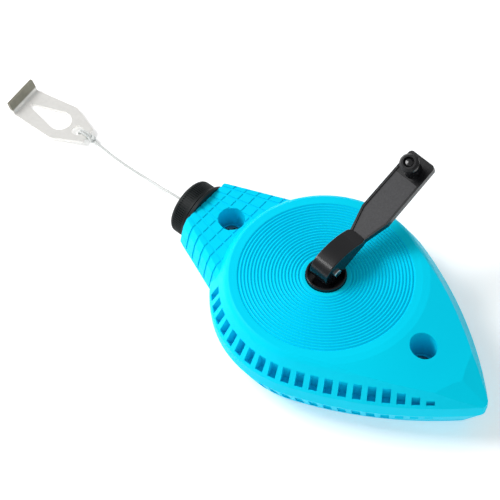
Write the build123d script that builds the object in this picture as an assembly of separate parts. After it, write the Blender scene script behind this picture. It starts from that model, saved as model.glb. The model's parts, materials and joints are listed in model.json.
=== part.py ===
from build123d import *
import math
import os

# Chalk line reel.  Millimetres, +Z up.  The origin is on the reel's axis, on the flat back of the case.
# The line leaves the nose towards -X, the pointed tail is towards +X, and the crank is on top.

FAR = 90.0

# Case outline: a round nose, two long side arcs and a small round tip
NOSE_R = 38.6
SIDE_R = 145.0
SHARP_TIP_X = 68.2
TIP_R = 2.5
PART_Z = 13.2
UPPER_BAND = 2.8
UPPER_SLOPE = 4.2 / 8.2
TOP_Z = 27.2
TOP_ROUND = 4.5
TOP_TIP_R = 9.0
LOWER_STEP = 0.25
LOWER_BAND = 2.4
LOWER_INSET = 5.0
LOWER_ROUND = 1.2
CAVITY_INSET = 7.2
FLOOR = 2.4
STEP_R = 8.0
STEP_T = 1.2
ROOF = 2.6

# Dial on the top face, and the cone and the two facets that fall away to the tail
DIAL_RISE = 0.3
DIAL_EDGE_R = 31.0
CONE_START_R = 33.5
CONE_FALL = 0.265
GROOVES = 19
GROOVE_OUTER_R = 29.0
GROOVE_PITCH = 1.125
GROOVE_HALF = 0.38
GROOVE_DEPTH = 0.55
FACET_X = 55.9
FACET_Z = 21.2
FACET_FALL = 0.47
FACET_TILT = 0.10

# Neck
NECK_X = -52.3
NECK_BACK_X = -27.0
NECK_FLARE = math.tan(math.radians(22.5))
UPPER_NECK = [(13.4, 13.2), (12.8, 16.2), (11.6, 20.0), (9.7, 22.4)]
LOWER_NECK = [(13.2, 13.2), (12.5, 10.0), (11.0, 6.0), (9.0, 3.8)]
UPPER_HOPPER = [(10.6, 13.2), (9.6, 17.6), (7.2, 20.0)]
LOWER_HOPPER = [(10.6, 13.2), (9.6, 8.8), (7.2, 6.2)]
BRICK_PITCH = 4.0
BRICK_ROWS = 6
BRICK_GROOVE = 0.75
BRICK_DEPTH = 0.3
BRICK_COLUMNS = (-0.84, -0.56, -0.28, 0.0, 0.28, 0.56, 0.84)
BRICK_MID = 12.0
BRICK_RUN = 28.0
BRICK_BOX = 8.0

# Grip pockets along both sides
POCKETS = 20
POCKET_PITCH = 4.85
POCKET_W = 2.8
POCKET_START = math.radians(140.0)
POCKET_FADE_X = 42.0
UPPER_POCKET = [
    (-1.5, 17.0),
    (0.8, 17.0),
    (2.0, 14.8),
    (4.2, 14.8),
    (4.5, 18.0),
    (3.4, 22.2),
    (-1.5, 22.2),
]
LOWER_POCKET = [
    (-1.5, 9.6),
    (0.8, 9.6),
    (1.3, 11.4),
    (3.9, 11.4),
    (4.6, 6.0),
    (4.2, 2.6),
    (-1.5, 2.6),
]
UPPER_POCKET_HANDS = (-1,)
LOWER_POCKET_HANDS = (1, -1)
POCKET_SHALLOWING = 0.045
POCKET_TAIL_DROP = 0.29

# Screws that hold the case
SCREW_X = 40.8
WELL_R = 4.6
WELL_FLOOR = 12.8
TOWER_R = 5.5
TOWER_FOOT = 11.6
POST_R = 4.2
SCREW_R = 1.4
SCREW_HOLE_R = 1.7
SCREW_HEAD_R = 3.1
SCREW_HEAD_H = 2.0
SCREW_TIP_Z = 6.0

# Spout, cap and line exit, all on one axis along X at the parting height
SPOUT_R = 7.4
SPOUT_BORE = 5.2
SPOUT_FRONT = -58.5
KEEPER_T = 1.7
KEEPER_W = 16.8
KEEPER_H = 12.0
COLLAR_R = 11.5
COLLAR_T = 1.25
END_WALL = 2.6
CAP_R = 9.95
CAP_BACK = -54.4
CAP_FRONT = -60.4
CAP_BORE = 7.5
CAP_INNER = -58.9
CAP_SHOULDER = 1.6
CAP_RIBS = 76
RIB_DEPTH = 0.6
RIB_SHARE = 0.5
RIB_L = 3.9
CAP_HOLE = 1.9
EYE_BORE = 0.95

# Reel, shaft and bearings
SHAFT_R = 4.0
RUNNING = 0.05
SQUARE = 5.3
SPOOL_Z = 4.6
SPOOL_TOP = 20.8
FLANGE_R = 28.5
SPOOL_HOLES = 6
SPOOL_HOLE_R = 3.2
SPOOL_HOLE_PITCH_R = 17.0
FLANGE_T = 1.4
CORE_R = 9.0
WINDING_R = 25.5
WEB_Z = 12.0
POST_TOP = 10.0
PIVOT_R = 3.2
BUSH_SEAT_R = 5.6
WASHER_R = 7.6
FLANGE_DROP = 0.45
BOSS_R = 9.0
BOSS_Z = 21.5
SEAL_Z = 23.8

# Crank.  It is drawn lying flat along +X with the hinge pin at the origin, then raised and turned.
HUB_R = 6.8
HUB_INNER_R = 6.15
HUB_BOTTOM = 24.7
HUB_FLOOR = 25.6
HUB_TOP = 28.5
HUB_SCREW_TOP = 18.2
HUB_SCREW_R = 1.25
PIN_Z = 31.0
PIN_AHEAD = 1.2
PIN_R = 1.5
PIN_REACH = 4.3
PIN_HEAD_R = 2.1
PIN_HEAD_T = 1.2
LUG_HALF = 1.6
LUG_T = 3.8
LUG_R = 3.3
FORK_W = 7.4
FORK_SLOT = 4.2
DRUM_R = 5.3
CHEEK_R = 4.3
CHEEK_TOP = -2.0
DRUM_INNER = 3.7
WRAP_END = 190.0
ARM_TOP = -0.74
ARM_T = 2.4
ARM_END = 47.8
ARM_W = 11.3
ARM_ROOT = 14.3
ARM_ROOT_W = 6.4
ARM_SHOULDER = 23.0
EAR_R = 1.9
PANEL_BORDER = 0.75
PANEL_DEPTH = 0.4
KNOB_L = 42.6
KNOB_R = 3.35
KNOB_H = 7.7
KNOB_HEAD_T = 2.4
KNOB_STEM_R = 2.5
DIMPLE_R = 1.9
RIVET_R = 1.2
CRANK_TILT = 21.0
CRANK_AZIMUTH = 85.65

# Line, knot, loop and hook
LINE_D = 1.0
KNOT = (-110.95, 5.85, 1.6)
KNOT_R = 1.25
HOOK_ANGLE = 5.0
HOOK_TILT = 2.6
HOOK_T = 1.0
HOOK_END = 1.55
HOOK_EYE = 6.1
HOOK_EYE_R = 2.2
HOOK_END_HALF = 3.3
HOOK_WIDE_HALF = 8.1
HOOK_LIP_HALF = 6.7
HOOK_LIP_LEAN = 1.9
SLOT_WIDE_R = 4.2
SLOT_NARROW_R = 0.8
SLOT_WIDE_BACK = 1.7
SLOT_NARROW_BACK = 2.6
HOOK_WIDE = 12.4
HOOK_LIP = 29.3
HOOK_LIP_H = 5.3
LOOP_R = 0.45
LOOP_TOP = 2.82
LOOP_LOW = 0.62
LOOP_TURN = 4.7
LOOP_BEND = 0.8
LEAD_BEND = 8.0
LINE_ROUTE = [
    (-61.35, 0.0, 13.2),
    (-67.8, 0.0, 13.2),
    (-74.0, 1.2, 9.6),
    (-78.8, 4.2, 4.2),
    (-84.5, 5.9, 0.55),
    (-91.4, 5.5, 0.55),
    (-98.4, 5.45, 0.55),
    (-104.6, 5.75, 0.65),
    (-109.55, 5.85, 1.45),
]


def case_face(inset, tip_radius, z):
    """Outline of the case, moved in from the parting line by inset."""
    gap = SIDE_R - NOSE_R
    swing = math.acos((SIDE_R**2 - gap**2 - SHARP_TIP_X**2) / (2 * SHARP_TIP_X * gap))
    centre_x = -gap * math.cos(swing)
    centre_y = gap * math.sin(swing)
    nose = NOSE_R - inset
    side = SIDE_R - inset
    tip_x = centre_x + math.sqrt((side - tip_radius) ** 2 - centre_y**2)
    end = math.atan2(centre_y, tip_x - centre_x)

    def on_side(angle, hand):
        return (centre_x + side * math.cos(angle), hand * (side * math.sin(angle) - centre_y))

    upper_join = (nose * math.cos(swing), nose * math.sin(swing))
    lower_join = (upper_join[0], -upper_join[1])
    middle = (swing + end) / 2
    edges = [
        ThreePointArc(upper_join, (-nose, 0), lower_join),
        ThreePointArc(lower_join, on_side(middle, -1), on_side(end, -1)),
        ThreePointArc(on_side(end, -1), (tip_x + tip_radius, 0), on_side(end, 1)),
        ThreePointArc(on_side(end, 1), on_side(middle, 1), upper_join),
    ]
    return Pos(0, 0, z) * Face(Wire(edges))


def wall_point(distance):
    """Point on the parting outline and the angle of its outward normal, measured back from the neck."""
    gap = SIDE_R - NOSE_R
    swing = math.acos((SIDE_R**2 - gap**2 - SHARP_TIP_X**2) / (2 * SHARP_TIP_X * gap))
    angle = POCKET_START - distance / NOSE_R
    if angle >= swing:
        return NOSE_R * math.cos(angle), NOSE_R * math.sin(angle), angle
    angle = swing - (distance - (POCKET_START - swing) * NOSE_R) / SIDE_R
    x = -gap * math.cos(swing) + SIDE_R * math.cos(angle)
    y = -gap * math.sin(swing) + SIDE_R * math.sin(angle)
    return x, y, angle


def pocket_tools(profile, hands, tail_drop):
    """Cutters for the grip pockets.  They get shallower and lower towards the tail."""
    tools = []
    for hand in hands:
        for index in range(POCKETS):
            x, y, angle = wall_point((index + 0.5) * POCKET_PITCH)
            fade = max(0.0, x - POCKET_FADE_X)
            depth = 1.0 - POCKET_SHALLOWING * fade
            points = []
            for inset, z in profile:
                if z > PART_Z + 5:
                    z = z - tail_drop * fade
                if inset > 1:
                    inset = inset * depth
                points.append((-inset, z))
            outward = Vector(math.cos(angle), hand * math.sin(angle), 0)
            plane = Plane(origin=(x, hand * y, 0), x_dir=outward, z_dir=outward.cross(Vector(0, 0, 1)))
            face = plane * make_face(Polyline(*points, close=True))
            tools.append(extrude(face, amount=POCKET_W / 2, both=True))
    return tools


def mirrored_section(half, x, grow):
    """Closed section across the neck from its right half, listed from the parting line."""
    points = [(x, y + grow, z) for y, z in half]
    points += [(x, -y - grow, z) for y, z in reversed(half)]
    return Face(Wire(Polyline(*points, close=True).edges()))


def neck_loft(half, x_start, x_end, shrink=0.0):
    """Flaring neck between two sections, or its inner hopper."""
    side = 1 if half[-1][1] > PART_Z else -1
    trimmed = [(y - shrink, z - side * shrink if z != PART_Z else z) for y, z in half]
    front = mirrored_section(trimmed, x_start, (x_start - NECK_X) * NECK_FLARE)
    back = mirrored_section(trimmed, x_end, (x_end - NECK_X) * NECK_FLARE)
    return loft([front, back], ruled=True)


def brick_grooves(half):
    """Shallow grid of grooves that makes the raised blocks on the neck."""
    skin = neck_loft(half, NECK_X - 0.01, NECK_BACK_X) - neck_loft(half, NECK_X - 1, NECK_BACK_X, BRICK_DEPTH)
    side = 1 if half[-1][1] > PART_Z else -1
    slabs = []
    for row in range(1, BRICK_ROWS):
        slabs.append(Pos(NECK_X + row * BRICK_PITCH, 0, PART_Z + side * 6.4) * Box(BRICK_GROOVE, 80, 11.6))
    for share in BRICK_COLUMNS:
        y = share * (half[-1][0] + BRICK_MID * NECK_FLARE)
        angle = math.degrees(math.atan(share * NECK_FLARE))
        place = Pos(NECK_X + BRICK_MID, y, PART_Z + side * BRICK_BOX) * Rot(0, 0, angle)
        slabs.append(place * Box(BRICK_RUN, BRICK_GROOVE, BRICK_BOX))
    cut = slabs[0]
    for slab in slabs[1:]:
        cut = cut + slab
    return cut & skin


def half_space_above(x, z, fall, tilt):
    """Big block above a plane that falls towards +X and tilts sideways."""
    normal = Vector(fall, tilt, 1)
    plane = Plane(origin=(x, 0, z), z_dir=normal)
    return plane * Box(300, 300, 80, align=(Align.CENTER, Align.CENTER, Align.MIN))


def cone_height(radius):
    return TOP_Z - DIAL_RISE - CONE_FALL * (radius - CONE_START_R)


def crown():
    """Turned form that trims the top: dial with grooves, rim and falling cone."""
    def dial_height(radius):
        return TOP_Z - DIAL_RISE * (radius / DIAL_EDGE_R) ** 2

    cone_start = CONE_START_R + 1
    points = [(0, PART_Z), (FAR, PART_Z), (FAR, cone_height(FAR)), (cone_start, cone_height(cone_start))]
    points.append((CONE_START_R - 1.5, TOP_Z - DIAL_RISE))
    points.append((DIAL_EDGE_R, dial_height(DIAL_EDGE_R)))
    for index in range(GROOVES):
        radius = GROOVE_OUTER_R - index * GROOVE_PITCH
        crest = radius + GROOVE_PITCH / 2
        points.append((crest, dial_height(crest)))
        points.append((radius + GROOVE_HALF, dial_height(radius) - 0.06))
        points.append((radius, dial_height(radius) - GROOVE_DEPTH))
        points.append((radius - GROOVE_HALF, dial_height(radius) - 0.06))
    inner = GROOVE_OUTER_R - (GROOVES - 0.5) * GROOVE_PITCH
    points.append((inner, dial_height(inner)))
    points.append((0, TOP_Z))
    face = make_face(Polyline(*[(r, 0, z) for r, z in points], close=True))
    return revolve(face, Axis.Z, 360)


def turned(points):
    """Solid of revolution about Z from a closed list of radius and height."""
    return revolve(make_face(Polyline(*[(r, 0, z) for r, z in points], close=True)), Axis.Z, 360)


def cylinder(radius, low, high, x=0.0, y=0.0):
    return Pos(x, y, low) * Cylinder(radius, high - low, align=(Align.CENTER, Align.CENTER, Align.MIN))


def ring(inner, outer, low, high):
    return cylinder(outer, low, high) - cylinder(inner, low - 1, high + 1)


def along_x(radius, x_low, x_high):
    """Cylinder on the line's axis."""
    return Pos(x_low, 0, PART_Z) * Rot(0, 90, 0) * Cylinder(
        radius, x_high - x_low, align=(Align.CENTER, Align.CENTER, Align.MIN)
    )


def tube_x(inner, outer, x_low, x_high):
    return along_x(outer, x_low, x_high) - along_x(inner, x_low - 1, x_high + 1)


def upper_shell():
    wall_top = (TOP_Z - PART_Z - UPPER_BAND) * UPPER_SLOPE
    band = extrude(case_face(0, TIP_R, PART_Z), amount=UPPER_BAND)
    low = case_face(0, TIP_R, PART_Z + UPPER_BAND)
    high = case_face(wall_top, TOP_TIP_R, TOP_Z + 0.2)
    slope = loft([low, high], ruled=True)
    slope = fillet(slope.edges().group_by(Axis.Z)[-1], TOP_ROUND)
    body = (band + slope) & crown()
    for hand in (1, -1):
        body = body - half_space_above(FACET_X, FACET_Z, FACET_FALL, hand * FACET_TILT)
    body = body - pocket_tools(UPPER_POCKET, UPPER_POCKET_HANDS, POCKET_TAIL_DROP)
    neck = neck_loft(UPPER_NECK, NECK_X, NECK_BACK_X) - brick_grooves(UPPER_NECK)
    outer = body + neck
    chamber = extrude(case_face(CAVITY_INSET, TIP_R, PART_Z - 1), amount=TOP_Z - PART_Z)
    flat_roof = cone_height(CONE_START_R) - ROOF
    edge_roof = cone_height(FAR) - ROOF
    ceiling = [(0, 0), (FAR, 0), (FAR, edge_roof), (CONE_START_R, flat_roof), (0, flat_roof)]
    chamber = chamber & turned(ceiling)
    for hand in (1, -1):
        chamber = chamber - half_space_above(FACET_X, FACET_Z - ROOF, FACET_FALL, hand * FACET_TILT)
    hopper = neck_loft(UPPER_HOPPER, NECK_X + END_WALL, NECK_BACK_X)
    shell = outer - chamber - hopper
    for x in (SCREW_X, -SCREW_X):
        shell = shell + (cylinder(TOWER_R, PART_Z, TOP_Z, x) & outer)
        shell = shell + cylinder(TOWER_R, TOWER_FOOT, PART_Z, x)
    shell = shell + cylinder(BOSS_R, BOSS_Z, TOP_Z - ROOF)
    for x in (SCREW_X, -SCREW_X):
        well = cylinder(WELL_R, WELL_FLOOR, TOP_Z + 1, x) + cylinder(SCREW_HOLE_R, TOWER_FOOT - 1, TOP_Z, x)
        shell = shell - well
    shell = shell - cylinder(BUSH_SEAT_R, PART_Z, TOP_Z + 1)
    shell = shell - cylinder(HUB_R + 0.2, HUB_BOTTOM - 0.1, TOP_Z + 1)
    return shell - along_x(SPOUT_R + RUNNING, NECK_X - 1, NECK_X + END_WALL + 0.01)


def lower_shell():
    band_z = PART_Z - LOWER_BAND
    band = extrude(case_face(LOWER_STEP, TIP_R, band_z), amount=LOWER_BAND)
    slope = loft([case_face(LOWER_INSET, TIP_R, 0), case_face(LOWER_STEP, TIP_R, band_z)], ruled=True)
    slope = fillet(slope.edges().group_by(Axis.Z)[0], LOWER_ROUND)
    body = (band + slope) - pocket_tools(LOWER_POCKET, LOWER_POCKET_HANDS, 0.0)
    neck = neck_loft(LOWER_NECK, NECK_X, NECK_BACK_X) - brick_grooves(LOWER_NECK)
    outer = body + neck
    chamber = extrude(case_face(CAVITY_INSET, TIP_R, FLOOR), amount=PART_Z)
    hopper = neck_loft(LOWER_HOPPER, NECK_X + END_WALL, NECK_BACK_X)
    shell = outer - chamber - hopper
    posts = cylinder(POST_R, 1, TOWER_FOOT, SCREW_X) + cylinder(POST_R, 5, TOWER_FOOT, -SCREW_X)
    shell = shell + posts
    shell = shell + cylinder(STEP_R, 1, FLOOR + STEP_T) + cylinder(PIVOT_R, 1, POST_TOP)
    for x in (SCREW_X, -SCREW_X):
        shell = shell - cylinder(SCREW_R, SCREW_TIP_Z - 0.5, PART_Z + 1, x)
    return shell - along_x(SPOUT_R + RUNNING, NECK_X - 1, NECK_X + END_WALL + 0.01)


def spout():
    """Threaded spout with an outer collar and an inner keeper plate, held by the two case halves."""
    wall_in = NECK_X + END_WALL
    tube = along_x(SPOUT_R, SPOUT_FRONT, wall_in + 0.05)
    collar = along_x(COLLAR_R, NECK_X - 0.05 - COLLAR_T, NECK_X - 0.05)
    collar = fillet(collar.edges().group_by(Axis.X)[0], 0.4)
    keeper = Pos(wall_in + 0.05 + KEEPER_T / 2, 0, PART_Z) * Box(KEEPER_T, KEEPER_W, KEEPER_H)
    return tube + collar + keeper - along_x(SPOUT_BORE, SPOUT_FRONT - 1, wall_in + 3)


def filler_cap():
    skirt = along_x(CAP_R, CAP_FRONT, CAP_BACK)
    skirt = fillet(skirt.edges().group_by(Axis.X)[0], CAP_SHOULDER)
    skirt = skirt - along_x(CAP_BORE, CAP_INNER, CAP_BACK + 1) - along_x(CAP_HOLE, CAP_FRONT - 1, CAP_BACK)
    notch_x = CAP_FRONT + CAP_SHOULDER - 0.2 + RIB_L / 2
    step = 360 / CAP_RIBS
    notch_w = math.radians(step) * CAP_R * RIB_SHARE
    notches = []
    for index in range(CAP_RIBS):
        turn = Pos(0, 0, PART_Z) * Rot(index * step, 0, 0)
        notches.append(turn * Pos(notch_x, 0, CAP_R) * Box(RIB_L, notch_w, 2 * RIB_DEPTH))
    return skirt - notches


def screw(head_r, head_h, shank_r, length):
    """Pan head cross-recess screw, head up, with its underside at z = 0."""
    head = Cylinder(head_r, head_h, align=(Align.CENTER, Align.CENTER, Align.MIN))
    head = fillet(head.edges().group_by(Axis.Z)[-1], head_h * 0.45)
    cross = Pos(0, 0, head_h) * (Box(head_r * 1.15, 0.7, 2.2) + Box(0.7, head_r * 1.15, 2.2))
    shank = Cylinder(shank_r, length, align=(Align.CENTER, Align.CENTER, Align.MAX))
    shank = chamfer(shank.edges().group_by(Axis.Z)[0], shank_r * 0.5)
    return head + shank - cross


def case_screws():
    length = WELL_FLOOR - SCREW_TIP_Z
    one = screw(SCREW_HEAD_R, SCREW_HEAD_H, SCREW_R, length)
    return Compound([Pos(x, 0, WELL_FLOOR) * one for x in (-SCREW_X, SCREW_X)])


def spool():
    core = cylinder(CORE_R, SPOOL_Z, SPOOL_TOP)
    lower = cylinder(FLANGE_R, SPOOL_Z, SPOOL_Z + FLANGE_T)
    upper = cylinder(FLANGE_R, SPOOL_TOP - FLANGE_T, SPOOL_TOP)
    body = core + lower + upper
    for index in range(SPOOL_HOLES):
        angle = math.radians(360 / SPOOL_HOLES * index + 15)
        x = SPOOL_HOLE_PITCH_R * math.cos(angle)
        y = SPOOL_HOLE_PITCH_R * math.sin(angle)
        body = body - cylinder(SPOOL_HOLE_R, 0, TOP_Z, x, y)
    body = body - cylinder(SHAFT_R + RUNNING, SPOOL_Z - 1, WEB_Z)
    square = SQUARE + 2 * RUNNING
    return body - Pos(0, 0, WEB_Z + 5) * Box(square, square, 20)


def line_winding():
    return ring(CORE_R + RUNNING, WINDING_R, SPOOL_Z + FLANGE_T + RUNNING, SPOOL_TOP - FLANGE_T - RUNNING)


def crank_hub():
    """Cup and lug on top, round shaft in the bearing, square end in the spool."""
    cup = cylinder(HUB_R, HUB_BOTTOM, HUB_TOP)
    cup = fillet(cup.edges().group_by(Axis.Z)[-1], 0.3)
    cup = cup - cylinder(HUB_INNER_R, HUB_FLOOR, HUB_TOP + 1)
    shaft = cylinder(SHAFT_R, SPOOL_TOP, HUB_BOTTOM + 0.1)
    square_foot = WEB_Z + 0.4
    square = Pos(0, 0, (square_foot + SPOOL_TOP) / 2) * Box(SQUARE, SQUARE, SPOOL_TOP - square_foot)
    foot = HUB_FLOOR - 0.3
    neck = Pos(PIN_AHEAD, 0, (foot + PIN_Z) / 2) * Box(2 * LUG_HALF, LUG_T, PIN_Z - foot)
    head = Pos(PIN_AHEAD, 0, PIN_Z) * Rot(90, 0, 0) * Cylinder(LUG_R, LUG_T)
    lug = neck + head - Pos(PIN_AHEAD, 0, PIN_Z) * Rot(90, 0, 0) * Cylinder(PIN_R, LUG_T + 2)
    body = cup + shaft + square + Rot(0, 0, CRANK_AZIMUTH) * lug
    return body - cylinder(HUB_SCREW_R, 0, HUB_SCREW_TOP)


def place_pin(shape):
    """From the origin to the hinge pin's axis."""
    return Rot(0, 0, CRANK_AZIMUTH) * Pos(PIN_AHEAD, 0, PIN_Z) * shape


def place_crank(shape):
    """From lying flat along +X about the pin to the resting tilt and azimuth."""
    return place_pin(Rot(0, -CRANK_TILT, 0) * shape)


def side_profile(points, width):
    """Plate of that width across the arm, from its outline of distance along and height."""
    outline = Polyline(*[(a, 0, n) for a, n in points], close=True)
    return extrude(make_face(outline), amount=width / 2, both=True)


def crank_fork():
    """Inverted channel that wraps the hub's lug, rounded at both ends."""
    drum = Rot(90, 0, 0) * Cylinder(DRUM_R, FORK_W) - Pos(0, 0, CHEEK_TOP - DRUM_R) * Box(20, 20, 2 * DRUM_R)
    drum = drum + Rot(90, 0, 0) * Cylinder(CHEEK_R, FORK_W)
    floor = ARM_TOP - ARM_T
    ear_end = ARM_ROOT + 0.3
    crest = ThreePointArc((0, 0, DRUM_R), (6.4, 0, 4.25), (11.0, 0, 2.0))
    nose = Line((11.0, 0, 2.0), (ear_end, 0, ARM_TOP))
    foot = [(ear_end, 0, -2.2), (5.8, 0, -2.35), (4.3, 0, -2.5), (0, 0, -2.5)]
    under = Polyline((ear_end, 0, ARM_TOP), *foot, (0, 0, DRUM_R))
    channel = extrude(make_face(crest + nose + under), amount=FORK_W / 2, both=True)
    middle = (ear_end - 4) / 2
    plan = Pos(middle, 0, 0) * Box(ear_end + 4, FORK_W, 20)
    plan = fillet(plan.edges().filter_by(Axis.Z).group_by(Axis.X)[-1], EAR_R)
    fork = drum + (channel & plan)
    fork = fillet(fork.edges().filter_by(GeomType.CIRCLE).group_by(Axis.Z)[-1], 0.4)
    bore = Rot(90, 0, 0) * Cylinder(DRUM_INNER, FORK_SLOT)
    wrap = math.radians(WRAP_END)
    reach = 2.4 * DRUM_R
    mouth = side_profile(
        [
            (0, 0),
            (reach * math.cos(wrap), reach * math.sin(wrap)),
            (-reach, -reach),
            (DRUM_INNER, -reach),
            (DRUM_INNER, 0),
        ],
        FORK_SLOT,
    )
    hollow = side_profile([(0, 2.6), (6.0, 2.2), (10.5, floor - 1), (0, floor - 1)], FORK_SLOT)
    return fork - bore - mouth - hollow


def crank_blade():
    """Flat blade with a sunk panel."""
    half_w = ARM_W / 2
    half_r = ARM_ROOT_W / 2
    right = [(ARM_ROOT - 2, half_r), (ARM_ROOT, half_r), (ARM_SHOULDER, half_w), (ARM_END, half_w - 0.2)]
    plan = right + [(a, -w) for a, w in reversed(right)]
    blade = extrude(Pos(0, 0, ARM_TOP - ARM_T) * make_face(Polyline(*plan, close=True)), amount=ARM_T)
    blade = fillet(blade.edges().filter_by(Axis.Z).group_by(Axis.X)[-1], 1.4)
    sunk = [(a, w - PANEL_BORDER) for a, w in right[:-1]]
    sunk[0] = (ARM_ROOT - 2, half_r - PANEL_BORDER)
    sunk.append((ARM_END - PANEL_BORDER, half_w - 0.2 - PANEL_BORDER))
    outline = sunk + [(a, -w) for a, w in reversed(sunk)]
    panel = extrude(Pos(0, 0, ARM_TOP - PANEL_DEPTH) * make_face(Polyline(*outline, close=True)), amount=1)
    panel = fillet(panel.edges().filter_by(Axis.Z).group_by(Axis.X)[-1], 0.8)
    return blade - panel


def crank_arm():
    arm = crank_fork() + crank_blade()
    arm = arm - Rot(90, 0, 0) * Cylinder(PIN_R + RUNNING, FORK_W + 2)
    arm = arm - Pos(KNOB_L, 0, ARM_TOP) * Cylinder(RIVET_R, 10)
    return place_crank(arm)


def hinge_pin():
    """Rivet with a domed head on the far side."""
    shank = Rot(90, 0, 0) * Cylinder(PIN_R, 2 * PIN_REACH)
    shank = fillet(shank.edges().filter_by(GeomType.CIRCLE), 0.25)
    head_y = FORK_W / 2 + 0.08 + PIN_HEAD_T / 2
    head = Pos(0, head_y, 0) * Rot(90, 0, 0) * Cylinder(PIN_HEAD_R, PIN_HEAD_T)
    head = fillet(head.edges().filter_by(GeomType.CIRCLE).group_by(Axis.Y)[-1], PIN_HEAD_T * 0.7)
    return place_pin(shank + head)


def knob():
    """Mushroom knob: a head with a dimple on a narrower stem with a flared foot."""
    low = ARM_TOP - PANEL_DEPTH + 0.12
    top = ARM_TOP + KNOB_H
    under = top - KNOB_HEAD_T
    outline = [
        (RIVET_R + RUNNING, low),
        (KNOB_R - 0.3, low),
        (KNOB_STEM_R, low + 1.6),
        (KNOB_STEM_R, under - 0.6),
        (KNOB_R, under + 0.3),
        (KNOB_R, top - 0.8),
        (KNOB_R - 0.8, top),
        (DIMPLE_R, top),
        (DIMPLE_R - 0.2, top - 1.0),
        (RIVET_R + RUNNING, top - 1.0),
    ]
    return place_crank(Pos(KNOB_L, 0, 0) * turned(outline))


def knob_rivet():
    """Rivet through the arm, with a head in the knob's dimple and a flat head under the arm."""
    foot = ARM_TOP - ARM_T
    seat = ARM_TOP + KNOB_H - 1.0
    outline = [
        (0, foot - 0.45),
        (2.0, foot - 0.45),
        (2.0, foot),
        (RIVET_R, foot),
        (RIVET_R, seat + 0.06),
        (1.6, seat + 0.06),
        (1.6, seat + 0.35),
        (1.1, seat + 0.7),
        (0, seat + 0.85),
    ]
    return place_crank(Pos(KNOB_L, 0, 0) * turned(outline))


def bearings():
    """Bushes, seal and washer around the shaft and the pivot post."""
    bore = SHAFT_R + RUNNING
    flange = ring(bore, WASHER_R, BOSS_Z - FLANGE_DROP, BOSS_Z)
    return {
        "upper_bush": ring(bore, BUSH_SEAT_R, BOSS_Z - FLANGE_DROP, SEAL_Z) + flange,
        "shaft_seal": ring(bore, BUSH_SEAT_R, SEAL_Z, HUB_BOTTOM - 0.15),
        "lower_bush": ring(PIVOT_R, SHAFT_R, FLOOR + STEP_T, POST_TOP),
        "thrust_washer": ring(SHAFT_R + 0.3, WASHER_R, FLOOR + STEP_T, SPOOL_Z - 0.1),
    }


def hub_screw():
    length = 6.0
    one = screw(3.3, 1.6, 1.25, length)
    return Pos(0, 0, WEB_Z - 0.1) * Rot(180, 0, 0) * one


def rounded_path(points, share=0.45):
    """Straight runs joined by arcs as large as the runs allow, and the radii used."""
    radii = []
    for before, here, after in zip(points, points[1:], points[2:]):
        first = Vector(*here) - Vector(*before)
        second = Vector(*after) - Vector(*here)
        half_turn = math.radians(first.get_angle(second)) / 2
        radii.append(share * min(first.length, second.length) / math.tan(half_turn))
    return FilletPolyline(*points, radius=radii), radii


def round_tube(path, radius):
    start = Plane(origin=path @ 0, z_dir=path % 0)
    return sweep(start * Circle(radius), path=path)


def free_line():
    """The line outside the case, from the eyelet down to the surface and along it to the knot."""
    path, radii = rounded_path(LINE_ROUTE)
    tube = round_tube(path, LINE_D / 2)
    print("line radii", [round(r, 1) for r in radii])
    print("line length", round(path.length, 2), "volume ratio",
          round(tube.volume / (math.pi * LINE_D**2 / 4 * path.length), 4))
    return tube


def line_lead():
    """The line inside: from the winding, past the front post and through the spout to the eyelet."""
    bend_x = NECK_X - 1.1
    reach = WINDING_R + LINE_D / 2 + 0.3
    angle = math.acos(reach / -bend_x)
    tangent = (-reach * math.cos(angle), -reach * math.sin(angle), PART_Z)
    path = FilletPolyline((LINE_ROUTE[0][0], 0, PART_Z), (bend_x, 0, PART_Z), tangent, radius=LEAD_BEND)
    return round_tube(path, LINE_D / 2)


def place_hook(shape):
    """From lying flat with the knot over the origin and the blade along +X to where it rests."""
    return Pos(KNOT[0], KNOT[1], 0) * Rot(0, 0, 180 + HOOK_ANGLE) * shape


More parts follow.
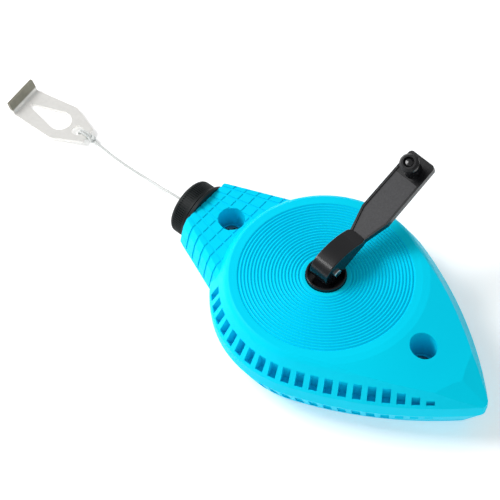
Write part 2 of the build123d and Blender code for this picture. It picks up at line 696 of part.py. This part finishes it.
def line_hook():
    """Flat steel hook: eye, teardrop slot and a lip bent up at the far end."""
    right = [(HOOK_END, HOOK_END_HALF), (HOOK_WIDE, HOOK_WIDE_HALF), (HOOK_LIP, HOOK_LIP_HALF)]
    plan = right + [(a, -w) for a, w in reversed(right)]
    blade = extrude(make_face(Polyline(*plan, close=True)), amount=HOOK_T)
    blade = fillet(blade.edges().filter_by(Axis.Z).group_by(Axis.X)[0], 0.6)
    lip_profile = [
        (HOOK_LIP - 1.6, 0),
        (HOOK_LIP + 0.5, 0),
        (HOOK_LIP + 1.3, 0.8),
        (HOOK_LIP + 1.0 + HOOK_LIP_LEAN, HOOK_LIP_H),
        (HOOK_LIP + HOOK_LIP_LEAN, HOOK_LIP_H + 0.1),
        (HOOK_LIP + 0.2, 1.5),
        (HOOK_LIP - 0.5, HOOK_T),
        (HOOK_LIP - 1.6, HOOK_T),
    ]
    lip = side_profile(lip_profile, 2 * HOOK_LIP_HALF)
    wide_r = SLOT_WIDE_R
    narrow_r = SLOT_NARROW_R
    wide_x = HOOK_WIDE + SLOT_WIDE_BACK
    narrow_x = HOOK_LIP - SLOT_NARROW_BACK
    lean_angle = math.asin((wide_r - narrow_r) / (narrow_x - wide_x))
    nx = math.sin(lean_angle)
    ny = math.cos(lean_angle)
    wide_left = (wide_x + wide_r * nx, wide_r * ny)
    wide_right = (wide_left[0], -wide_left[1])
    narrow_left = (narrow_x + narrow_r * nx, narrow_r * ny)
    narrow_right = (narrow_left[0], -narrow_left[1])
    edges = [
        ThreePointArc(wide_left, (wide_x - wide_r, 0), wide_right),
        Line(wide_right, narrow_right),
        ThreePointArc(narrow_right, (narrow_x + narrow_r, 0), narrow_left),
        Line(narrow_left, wide_left),
    ]
    slot = extrude(Pos(0, 0, -1) * Face(Wire(edges)), amount=HOOK_T + 2)
    hook = blade + lip - slot - Pos(HOOK_EYE, 0, 0) * Cylinder(HOOK_EYE_R, 6)
    hook = Pos(HOOK_LIP, 0, 0) * Rot(0, HOOK_TILT, 0) * Pos(-HOOK_LIP, 0, 0) * hook
    return place_hook(Pos(0, 0, 0.05) * hook)


def line_loop():
    """Loop of line from the knot, over the end of the hook, through its eye and back under it."""
    points = [(1.25, 0, LOOP_TOP), (LOOP_TURN, 0, LOOP_TOP), (LOOP_TURN, 0, LOOP_LOW), (1.35, 0, LOOP_LOW)]
    return place_hook(round_tube(FilletPolyline(*points, radius=LOOP_BEND), LOOP_R))


def line_knot():
    return Pos(*KNOT) * Sphere(KNOT_R)


def cap_gasket():
    return tube_x(SPOUT_R + 0.1, CAP_R - 0.6, CAP_BACK + 0.05, NECK_X - 0.1 - COLLAR_T)


def line_eyelet():
    tube = tube_x(EYE_BORE, CAP_HOLE, CAP_FRONT, CAP_INNER + 0.1)
    return tube + tube_x(EYE_BORE, 2.6, CAP_FRONT - 0.5, CAP_FRONT)


def felt_wiper():
    return tube_x(LINE_D / 2 + RUNNING, SPOUT_BORE - RUNNING, SPOUT_FRONT + 0.4, SPOUT_FRONT + 3.0)


def build_parts():
    nodes = {
        "upper_shell": upper_shell(),
        "lower_shell": lower_shell(),
        "case_screws": case_screws(),
        "spout": spout(),
        "filler_cap": filler_cap(),
        "cap_gasket": cap_gasket(),
        "line_eyelet": line_eyelet(),
        "felt_wiper": felt_wiper(),
        "spool": spool(),
        "line_winding": line_winding(),
        "line_lead": line_lead(),
        "crank_hub": crank_hub(),
        "hub_screw": hub_screw(),
        "crank_arm": crank_arm(),
        "hinge_pin": hinge_pin(),
        "knob": knob(),
        "knob_rivet": knob_rivet(),
        "free_line": free_line(),
        "line_knot": line_knot(),
        "line_loop": line_loop(),
        "line_hook": line_hook(),
    }
    nodes.update(bearings())
    return nodes


os.makedirs("parts", exist_ok=True)
for node_name, shape in build_parts().items():
    export_step(shape, os.path.join("parts", node_name + ".step"))
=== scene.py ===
"""Looks of the chalk line reel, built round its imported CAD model. Metres, +Z up."""
import json
import math

import bpy
from mathutils import Matrix, Vector


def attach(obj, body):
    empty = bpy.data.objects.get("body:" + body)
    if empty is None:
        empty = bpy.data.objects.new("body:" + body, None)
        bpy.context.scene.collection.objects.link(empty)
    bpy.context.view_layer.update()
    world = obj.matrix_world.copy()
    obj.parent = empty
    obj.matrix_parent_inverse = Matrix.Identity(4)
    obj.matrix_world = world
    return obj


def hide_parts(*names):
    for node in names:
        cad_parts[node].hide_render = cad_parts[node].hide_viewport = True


MM = 0.001

# Camera
CAMERA_AZIMUTH = 40.0
CAMERA_ELEVATION = 55.3
CAMERA_DISTANCE = 0.841
CAMERA_AIM_Z = 0.027
CAMERA_LEFT = 0.02505
CAMERA_UP = 0.0084
CAMERA_LENS = 183.7
CAMERA_SENSOR = 36.0
CAMERA_NEAR = 0.05
CAMERA_FAR = 20.0

# Crank, as the CAD places it
PIN_Z = 31.0 * MM
PIN_AHEAD = 1.2 * MM
CRANK_TILT = math.radians(21.0)
CRANK_AZIMUTH = math.radians(85.65)
PANEL_FLOOR = -1.14 * MM
PANEL_TOLERANCE = 0.02 * MM
PANEL_START = 14.7 * MM
PANEL_END = 39.0 * MM
PANEL_HALF_W = 4.9 * MM
PANEL_ROUGHNESS = 0.55
PANEL_SPECKLE = 1400.0
PANEL_RELIEF = 0.04 * MM
CRANK_CLOUD = 120.0

# Line: its lay, its route from the eyelet, the knot, and the hook's turn
LINE_D = 1.0 * MM
STRANDS = 3
STRAND_R = 0.31 * MM
TWIST_PITCH = 3.2 * MM
LINE_ROUTE = [
    (-61.35, 0.0, 13.2),
    (-67.8, 0.0, 13.2),
    (-74.0, 1.2, 9.6),
    (-78.8, 4.2, 4.2),
    (-84.5, 5.9, 0.55),
    (-91.4, 5.5, 0.55),
    (-98.4, 5.45, 0.55),
    (-104.6, 5.75, 0.65),
    (-109.55, 5.85, 1.45),
]
KNOT = Vector((-110.95, 5.85, 1.6)) * MM
KNOT_REACH = 0.75 * MM
KNOT_STRAND_R = 0.55 * MM
HOOK_TURN = math.radians(185.0)
KNOT_TURNS = 96
KNOT_SIDES = 12
KNOT_LENGTHEN = 1.25
KNOT_NARROW = 2.4
PATH_STEP = 0.2 * MM
STRAND_SIDES = 8
SPLINE_RESOLUTION = 24
SPLINE_ORDER = 3

# Loop: from the knot towards the hook, across it, and height above the ground
LOOP_D = 0.9 * MM
LOOP_ROUTE = [
    (0.5, 0.5, 1.9),
    (1.1, 0.55, 2.8),
    (3.6, 0.55, 2.8),
    (4.9, 0.5, 2.6),
    (5.5, 0.45, 1.7),
    (4.9, 0.4, 0.6),
    (3.0, 0.3, 0.55),
    (1.2, 0.2, 0.6),
    (0.2, 0.1, 1.3),
    (0.3, -0.2, 2.3),
    (1.1, -0.45, 2.8),
    (3.6, -0.5, 2.8),
    (4.9, -0.5, 2.6),
    (5.5, -0.5, 1.7),
    (4.9, -0.5, 0.6),
    (3.0, -0.5, 0.55),
    (1.2, -0.4, 0.6),
    (0.4, -0.2, 1.3),
]

# Metals: the heights between which a dark reflection is painted onto the hook's lip, and the
# grain
LIP_START = 2.25 * MM
LIP_FULL_REFLECTION = 2.8 * MM
HOOK_METALLIC = 0.45
METAL_GRAIN = 700.0
METAL_RELIEF = 0.02 * MM
METAL_SMOOTHER = 0.06
METAL_ROUGHER = 0.08

# Plastics and fibres
PLASTIC_DRIFT = 28.0
PLASTIC_SMOOTHER = 0.05
PLASTIC_ROUGHER = 0.07
SHEEN = 0.3
SHEEN_ROUGHNESS = 0.4

# Noise stays near its middle: this part of it is spread over the whole range
NOISE_LOW = 0.3
NOISE_HIGH = 0.7

# Dark and light end of each colour
CASE_BLUE = (0.0, 0.68, 0.94), (0.0, 0.72, 0.965)
BLACK_PLASTIC = (0.006, 0.009, 0.010), (0.012, 0.016, 0.017)
GLOSS_BLACK = (0.003, 0.003, 0.004), (0.006, 0.0065, 0.008)
PANEL_GREY = (0.018, 0.018, 0.021), (0.036, 0.036, 0.040)
RUBBER_BLACK = (0.012, 0.012, 0.012), (0.02, 0.02, 0.02)
RIVET_BLACK = (0.004, 0.004, 0.005), (0.008, 0.008, 0.009)
STEEL = (0.50, 0.50, 0.50), (0.66, 0.66, 0.65)
ZINC = (0.16, 0.17, 0.18), (0.26, 0.27, 0.28)
HOOK_PLATE = (0.82, 0.81, 0.78), (0.93, 0.92, 0.89)
# the hook lip's colour is a painted dark reflection, laid on by height, not a tone of the steel
HOOK_LIP_PAINTED_REFLECTION = (0.20, 0.19, 0.145), (0.30, 0.29, 0.235)
FELT = (0.55, 0.53, 0.48), (0.72, 0.70, 0.64)
LINE_WHITE = (0.58, 0.60, 0.59), (0.74, 0.76, 0.75)
SPOOL_WHITE = (0.66, 0.66, 0.62), (0.72, 0.72, 0.68)
BEARING_WHITE = (0.76, 0.76, 0.71), (0.82, 0.82, 0.77)
WHITE = (1.0, 1.0, 1.0)
FLOOR_WHITE = (0.96, 0.96, 0.96)

# Floor and light
FLOOR_HALF = 3.0
FLOOR_DROP = 0.2 * MM
FLOOR_GLOW = 0.3
WORLD_STRENGTH = 0.44
LIGHT_AIM = Vector((0.0, 0.0, 0.02))
SOFT_BOXES = (
    # name, place, side, watts, colour
    ("box_key", (-0.80, -0.38, 0.92), 0.5, 11.8, WHITE),
    ("box_nose", (-1.0, 0.1, 0.45), 0.5, 1.2, WHITE),
    ("box_front", (0.7, -0.9, 0.5), 0.6, 0.8, (0.9, 1.0, 0.93)),
)


def place_camera():
    azimuth = math.radians(CAMERA_AZIMUTH)
    elevation = math.radians(CAMERA_ELEVATION)
    back = Vector((
        math.sin(azimuth) * math.cos(elevation),
        -math.cos(azimuth) * math.cos(elevation),
        math.sin(elevation),
    ))
    right = Vector((math.cos(azimuth), math.sin(azimuth), 0.0))
    up = back.cross(right)
    data = bpy.data.cameras.new("camera")
    data.lens = CAMERA_LENS
    data.sensor_width = CAMERA_SENSOR
    data.clip_start = CAMERA_NEAR
    data.clip_end = CAMERA_FAR
    camera = bpy.data.objects.new("camera", data)
    aim = Vector((0.0, 0.0, CAMERA_AIM_Z))
    place = aim + back * CAMERA_DISTANCE - right * CAMERA_LEFT + up * CAMERA_UP
    turn = Matrix((right, up, back)).transposed().to_4x4()
    camera.matrix_world = Matrix.Translation(place) @ turn
    bpy.context.scene.collection.objects.link(camera)
    bpy.context.scene.camera = camera


# ---------------------------------------------------------------- mesh helpers

def new_object(name, data):
    made = bpy.data.objects.new(name, data)
    bpy.context.scene.collection.objects.link(made)
    return made


def mesh_object(name, vertices, faces, smooth=True):
    mesh = bpy.data.meshes.new(name)
    mesh.from_pydata([tuple(v) for v in vertices], [], faces)
    mesh.validate()
    if smooth:
        mesh.shade_smooth()
    return new_object(name, mesh)


def spline_points(points):
    """Points along the NURBS spline that has these control points."""
    data = bpy.data.curves.new("route", "CURVE")
    data.dimensions = "3D"
    data.resolution_u = SPLINE_RESOLUTION
    spline = data.splines.new("NURBS")
    spline.points.add(len(points) - 1)
    for target, point in zip(spline.points, points):
        target.co = (*point, 1.0)
    spline.order_u = SPLINE_ORDER
    spline.use_endpoint_u = True
    holder = new_object("route", data)
    bpy.context.view_layer.update()
    evaluated = holder.evaluated_get(bpy.context.evaluated_depsgraph_get())
    mesh = bpy.data.meshes.new_from_object(evaluated)
    found = [v.co.copy() for v in mesh.vertices]
    bpy.data.meshes.remove(mesh)
    bpy.data.objects.remove(holder)
    bpy.data.curves.remove(data)
    return found


def even_points(points, step):
    """The same path in equal steps."""
    lengths = [0.0]
    for a, b in zip(points, points[1:]):
        lengths.append(lengths[-1] + (b - a).length)
    count = max(2, round(lengths[-1] / step))
    found = []
    at = 0
    for index in range(count + 1):
        want = lengths[-1] * index / count
        while at < len(points) - 2 and lengths[at + 1] < want:
            at += 1
        span = lengths[at + 1] - lengths[at]
        share = (want - lengths[at]) / span if span > 0 else 0.0
        found.append(points[at].lerp(points[at + 1], min(1.0, share)))
    return found


def frames_along(points):
    """Tangent and two steady cross directions at each point."""
    found = []
    side = None
    for index, point in enumerate(points):
        before = points[max(0, index - 1)]
        after = points[min(len(points) - 1, index + 1)]
        tangent = (after - before).normalized()
        if side is None:
            side = tangent.orthogonal().normalized()
        side = (side - tangent * side.dot(tangent)).normalized()
        found.append((point, side, tangent.cross(side)))
    return found


def tube_rings(points, radius, sides, vertices, faces, offset=0.0, phase=0.0, twist=0.0):
    """Adds one closed tube, whose centre may wind round the path, to the lists."""
    start = len(vertices)
    frames = frames_along(points)
    walked = 0.0
    for index, (point, side, other) in enumerate(frames):
        if index:
            walked += (point - frames[index - 1][0]).length
        angle = phase + (2 * math.pi * walked / twist if twist else 0.0)
        centre = point + offset * (math.cos(angle) * side + math.sin(angle) * other)
        for corner in range(sides):
            turn = 2 * math.pi * corner / sides
            vertices.append(centre + radius * (math.cos(turn) * side + math.sin(turn) * other))
    rings = len(frames)
    for ring in range(rings - 1):
        for corner in range(sides):
            a = start + ring * sides + corner
            b = start + ring * sides + (corner + 1) % sides
            faces.append((a, b, b + sides, a + sides))
    faces.append(tuple(start + corner for corner in reversed(range(sides))))
    faces.append(tuple(start + (rings - 1) * sides + corner for corner in range(sides)))


def twisted_line(name, points, diameter):
    """Laid line: strands that wind round each other along the path."""
    vertices = []
    faces = []
    offset = diameter / 2 - STRAND_R
    for strand in range(STRANDS):
        phase = 2 * math.pi * strand / STRANDS
        tube_rings(points, STRAND_R, STRAND_SIDES, vertices, faces, offset, phase, TWIST_PITCH)
    return mesh_object(name, vertices, faces)


# ---------------------------------------------------------------- materials

def nodes_of(name):
    material = bpy.data.materials.new(name)
    material.use_nodes = True
    tree = material.node_tree
    shader = tree.nodes["Principled BSDF"]
    return material, tree, shader


def add_node(tree, kind, **settings):
    made = tree.nodes.new(kind)
    for key, value in settings.items():
        setattr(made, key, value)
    return made


def object_coordinates(tree):
    return add_node(tree, "ShaderNodeTexCoord").outputs["Object"]


def noise(tree, coordinates, scale, detail=4.0, roughness=0.5):
    made = add_node(tree, "ShaderNodeTexNoise")
    made.inputs["Scale"].default_value = scale
    made.inputs["Detail"].default_value = detail
    made.inputs["Roughness"].default_value = roughness
    tree.links.new(coordinates, made.inputs["Vector"])
    return made.outputs["Fac"]


def spread(tree, value, low, high, from_low=0.0, from_high=1.0):
    made = add_node(tree, "ShaderNodeMapRange")
    made.inputs["From Min"].default_value = from_low
    made.inputs["From Max"].default_value = from_high
    made.inputs["To Min"].default_value = low
    made.inputs["To Max"].default_value = high
    tree.links.new(value, made.inputs["Value"])
    return made.outputs["Result"]


def stretched(tree, value):
    return spread(tree, value, 0.0, 1.0, NOISE_LOW, NOISE_HIGH)


def blend_colours(tree, share, first, second):
    """Colour between two colours, or colour outputs, by share."""
    made = add_node(tree, "ShaderNodeMix", data_type="RGBA")
    tree.links.new(share, made.inputs["Factor"])
    for socket, colour in ((made.inputs[6], first), (made.inputs[7], second)):
        if isinstance(colour, bpy.types.NodeSocket):
            tree.links.new(colour, socket)
        else:
            socket.default_value = (*colour, 1.0)
    return made.outputs[2]


def mottle(tree, shader, value, low, high):
    """Roughness that follows a noise between two ends."""
    tree.links.new(spread(tree, value, low, high), shader.inputs["Roughness"])


def bump(tree, shader, height, strength, distance):
    made = add_node(tree, "ShaderNodeBump")
    made.inputs["Strength"].default_value = strength
    made.inputs["Distance"].default_value = distance
    tree.links.new(height, made.inputs["Height"])
    tree.links.new(made.outputs["Normal"], shader.inputs["Normal"])


def moulded(
    name, dark, light, roughness, specular=0.5, grain=900.0, grain_height=0.02 * MM, ior=1.5
):
    """Moulded plastic: slow colour drift, satin mottling and a fine grain."""
    material, tree, shader = nodes_of(name)
    coordinates = object_coordinates(tree)
    drift = noise(tree, coordinates, PLASTIC_DRIFT, 3.0)
    fine = noise(tree, coordinates, grain, 2.0)
    colour = blend_colours(tree, stretched(tree, drift), dark, light)
    tree.links.new(colour, shader.inputs["Base Color"])
    mottle(tree, shader, fine, roughness - PLASTIC_SMOOTHER, roughness + PLASTIC_ROUGHER)
    shader.inputs["Specular IOR Level"].default_value = specular
    shader.inputs["IOR"].default_value = ior
    bump(tree, shader, fine, 0.5, grain_height)
    return material


def crank_coordinates(tree):
    """Place measured from the hinge pin: along the arm, across it and above it."""
    mapping = add_node(tree, "ShaderNodeMapping", vector_type="TEXTURE")
    turn = Matrix.Rotation(CRANK_AZIMUTH, 3, "Z") @ Matrix.Rotation(-CRANK_TILT, 3, "Y")
    ahead = Vector((math.cos(CRANK_AZIMUTH), math.sin(CRANK_AZIMUTH), 0.0)) * PIN_AHEAD
    mapping.inputs["Location"].default_value = (ahead.x, ahead.y, PIN_Z)
    mapping.inputs["Rotation"].default_value = turn.to_euler()
    tree.links.new(object_coordinates(tree), mapping.inputs["Vector"])
    split = add_node(tree, "ShaderNodeSeparateXYZ")
    tree.links.new(mapping.outputs["Vector"], split.inputs["Vector"])
    return split.outputs


def compare(tree, operation, value, limit):
    made = add_node(tree, "ShaderNodeMath", operation=operation)
    tree.links.new(value, made.inputs[0])
    made.inputs[1].default_value = limit
    return made.outputs["Value"]


def both(tree, first, second):
    made = add_node(tree, "ShaderNodeMath", operation="MULTIPLY")
    tree.links.new(first, made.inputs[0])
    tree.links.new(second, made.inputs[1])
    return made.outputs["Value"]


def crank_black():
    """Gloss black lacquer, with a satin grey floor in the arm's sunk panel."""
    material, tree, shader = nodes_of("crank_black")
    along, across, above = crank_coordinates(tree)
    mask = compare(tree, "LESS_THAN", above, PANEL_FLOOR + PANEL_TOLERANCE)
    mask = both(tree, mask, compare(tree, "GREATER_THAN", above, PANEL_FLOOR - PANEL_TOLERANCE))
    mask = both(tree, mask, compare(tree, "GREATER_THAN", along, PANEL_START))
    mask = both(tree, mask, compare(tree, "LESS_THAN", along, PANEL_END))
    inside = add_node(tree, "ShaderNodeMath", operation="ABSOLUTE")
    tree.links.new(across, inside.inputs[0])
    mask = both(tree, mask, compare(tree, "LESS_THAN", inside.outputs["Value"], PANEL_HALF_W))
    coordinates = object_coordinates(tree)
    speckle = noise(tree, coordinates, PANEL_SPECKLE, 3.0, 0.7)
    cloud = noise(tree, coordinates, CRANK_CLOUD, 3.0)
    grey = blend_colours(tree, stretched(tree, speckle), *PANEL_GREY)
    black = blend_colours(tree, cloud, *GLOSS_BLACK)
    tree.links.new(blend_colours(tree, mask, black, grey), shader.inputs["Base Color"])
    gloss = spread(tree, cloud, 0.20, 0.30)
    level = add_node(tree, "ShaderNodeMix")
    tree.links.new(mask, level.inputs["Factor"])
    tree.links.new(gloss, level.inputs[2])
    level.inputs[3].default_value = PANEL_ROUGHNESS
    tree.links.new(level.outputs[0], shader.inputs["Roughness"])
    bump(tree, shader, both(tree, speckle, mask), 0.6, PANEL_RELIEF)
    return material


def plated(name, dark, light, roughness):
    """Plated metal with fine mottling."""
    material, tree, shader = nodes_of(name)
    streak = noise(tree, object_coordinates(tree), METAL_GRAIN, 3.0, 0.6)
    colour = blend_colours(tree, stretched(tree, streak), dark, light)
    tree.links.new(colour, shader.inputs["Base Color"])
    shader.inputs["Metallic"].default_value = 1.0
    mottle(tree, shader, streak, roughness - METAL_SMOOTHER, roughness + METAL_ROUGHER)
    bump(tree, shader, streak, 0.25, METAL_RELIEF)
    return material


def hook_plate_and_painted_reflection():
    """Bright plate, with a dark reflection painted by height where the lip is bent up out of
    it.
    """
    material, tree, shader = nodes_of("hook_steel")
    coordinates = object_coordinates(tree)
    split = add_node(tree, "ShaderNodeSeparateXYZ")
    tree.links.new(coordinates, split.inputs["Vector"])
    # painted reflection: from LIP_START upwards the plate's colour turns to the lip's painted
    # dark reflection
    reflection_share = spread(tree, split.outputs["Z"], 0.0, 1.0, LIP_START, LIP_FULL_REFLECTION)
    streak = noise(tree, coordinates, METAL_GRAIN, 3.0, 0.6)
    plate = blend_colours(tree, streak, *HOOK_PLATE)
    lip = blend_colours(tree, streak, *HOOK_LIP_PAINTED_REFLECTION)
    tree.links.new(blend_colours(tree, reflection_share, plate, lip), shader.inputs["Base Color"])
    shader.inputs["Metallic"].default_value = HOOK_METALLIC
    mottle(tree, shader, streak, 0.28, 0.40)
    bump(tree, shader, streak, 0.25, METAL_RELIEF)
    return material


def fibrous(name, dark, light, scale, height):
    """Felt or cotton line: fibres as strong fine noise, with a soft sheen."""
    material, tree, shader = nodes_of(name)
    coordinates = object_coordinates(tree)
    fibres = noise(tree, coordinates, scale, 6.0, 0.8)
    colour = blend_colours(tree, stretched(tree, fibres), dark, light)
    tree.links.new(colour, shader.inputs["Base Color"])
    mottle(tree, shader, fibres, 0.75, 0.95)
    shader.inputs["Sheen Weight"].default_value = SHEEN
    shader.inputs["Sheen Roughness"].default_value = SHEEN_ROUGHNESS
    bump(tree, shader, fibres, 0.6, height)
    return material


def make_materials():
    """A material for each slot in the record, and one for the crank arm."""
    return {
        "case_blue": moulded(
            "case_blue", *CASE_BLUE, roughness=0.40, specular=0.2, ior=1.22
        ),
        "black_plastic": moulded(
            "black_plastic", *BLACK_PLASTIC, roughness=0.50, specular=0.20
        ),
        "crank_black": crank_black(),
        "black_gloss": moulded(
            "black_gloss", *GLOSS_BLACK, roughness=0.24, specular=0.4,
            grain=300.0, grain_height=0.01 * MM,
        ),
        "rubber_black": moulded("rubber_black", *RUBBER_BLACK, roughness=0.8, specular=0.3),
        "rivet_black": moulded("rivet_black", *RIVET_BLACK, roughness=0.2, specular=0.5),
        "steel": plated("steel", *STEEL, roughness=0.28),
        "screw_steel": plated("screw_steel", *ZINC, roughness=0.38),
        "hook_steel": hook_plate_and_painted_reflection(),
        "felt": fibrous("felt", *FELT, scale=1500.0, height=0.2 * MM),
        "line_white": fibrous("line_white", *LINE_WHITE, scale=5000.0, height=0.05 * MM),
        "spool_plastic": moulded("spool_plastic", *SPOOL_WHITE, roughness=0.45),
        "bearing_plastic": moulded("bearing_plastic", *BEARING_WHITE, roughness=0.3),
    }


def paint_nodes(materials):
    """Each CAD node takes the material of its slot in the record. The arm has its own."""
    for row in frame["record"]["subparts"]:
        name = row["node"]
        slot = row["material_slot"]
        if name == "crank_arm":
            slot = "crank_black"
        mesh = frame["nodes"][name].data
        mesh.materials.clear()
        mesh.materials.append(materials[slot])


# ---------------------------------------------------------------- line, knot and loop

def metres(points):
    return [Vector(point) * MM for point in points]


def make_line(material):
    points = even_points(spline_points(metres(LINE_ROUTE)), PATH_STEP)
    line = twisted_line("line", points, LINE_D)
    line.data.materials.append(material)
    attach(line, "case")
    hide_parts("free_line")
    return line, points


def make_knot(material):
    """Small overhand knot pulled tight."""
    points = []
    for index in range(KNOT_TURNS + 1):
        t = 2 * math.pi * index / KNOT_TURNS
        shape = Vector((
            -math.sin(3 * t) * KNOT_LENGTHEN,
            (math.sin(t) + 2 * math.sin(2 * t)) / KNOT_NARROW,
            (math.cos(t) - 2 * math.cos(2 * t)) / KNOT_NARROW,
        ))
        points.append(KNOT + shape * KNOT_REACH)
    vertices = []
    faces = []
    tube_rings(points, KNOT_STRAND_R, KNOT_SIDES, vertices, faces)
    knot = mesh_object("knot", vertices, faces)
    knot.data.materials.append(material)
    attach(knot, "hook_end")
    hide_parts("line_knot")
    return knot


def make_loop(material):
    """The line's loop through the hook's eye."""
    base = Matrix.Translation((KNOT.x, KNOT.y, 0.0)) @ Matrix.Rotation(HOOK_TURN, 4, "Z")
    route = [base @ (Vector(point) * MM) for point in LOOP_ROUTE]
    points = even_points(spline_points(route), PATH_STEP)
    loop = twisted_line("loop", points, LOOP_D)
    loop.data.materials.append(material)
    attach(loop, "hook_end")
    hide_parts("line_loop")
    return loop


# ---------------------------------------------------------------- floor and light

def make_floor():
    corners = [
        (x * FLOOR_HALF, y * FLOOR_HALF, 0) for x, y in ((-1, -1), (1, -1), (1, 1), (-1, 1))
    ]
    floor = mesh_object("floor", corners, [(0, 1, 2, 3)], smooth=False)
    floor.location.z = -FLOOR_DROP
    material, tree, shader = nodes_of("floor_white")
    shader.inputs["Base Color"].default_value = (*FLOOR_WHITE, 1.0)
    shader.inputs["Roughness"].default_value = 1.0
    shader.inputs["Specular IOR Level"].default_value = 0.0
    shader.inputs["Emission Color"].default_value = (*WHITE, 1.0)
    shader.inputs["Emission Strength"].default_value = FLOOR_GLOW
    floor.data.materials.append(material)


def soft_box(name, place, side, watts, colour):
    data = bpy.data.lights.new(name, "AREA")
    data.shape = "SQUARE"
    data.size = side
    data.energy = watts
    data.color = colour
    light = new_object(name, data)
    light.location = place
    light.rotation_mode = "QUATERNION"
    light.rotation_quaternion = (LIGHT_AIM - light.location).to_track_quat("-Z", "Y")


def make_lights():
    world = bpy.data.worlds.new("studio")
    world.use_nodes = True
    background = world.node_tree.nodes["Background"]
    background.inputs["Color"].default_value = (*WHITE, 1.0)
    background.inputs["Strength"].default_value = WORLD_STRENGTH
    bpy.context.scene.world = world
    for box in SOFT_BOXES:
        soft_box(*box)
    bpy.context.scene.view_settings.view_transform = "Standard"


# ---------------------------------------------------------------- the scene

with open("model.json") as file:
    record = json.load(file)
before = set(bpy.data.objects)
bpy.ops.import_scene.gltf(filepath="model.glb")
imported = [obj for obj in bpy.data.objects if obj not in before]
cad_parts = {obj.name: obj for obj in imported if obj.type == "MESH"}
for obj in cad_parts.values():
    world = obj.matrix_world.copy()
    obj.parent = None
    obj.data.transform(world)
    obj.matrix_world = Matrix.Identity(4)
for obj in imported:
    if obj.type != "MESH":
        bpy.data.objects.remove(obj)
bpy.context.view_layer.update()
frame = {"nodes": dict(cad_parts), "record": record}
place_camera()
materials = make_materials()
line, line_path = make_line(materials["line_white"])
knot = make_knot(materials["line_white"])
loop = make_loop(materials["line_white"])
paint_nodes(materials)
make_floor()
make_lights()
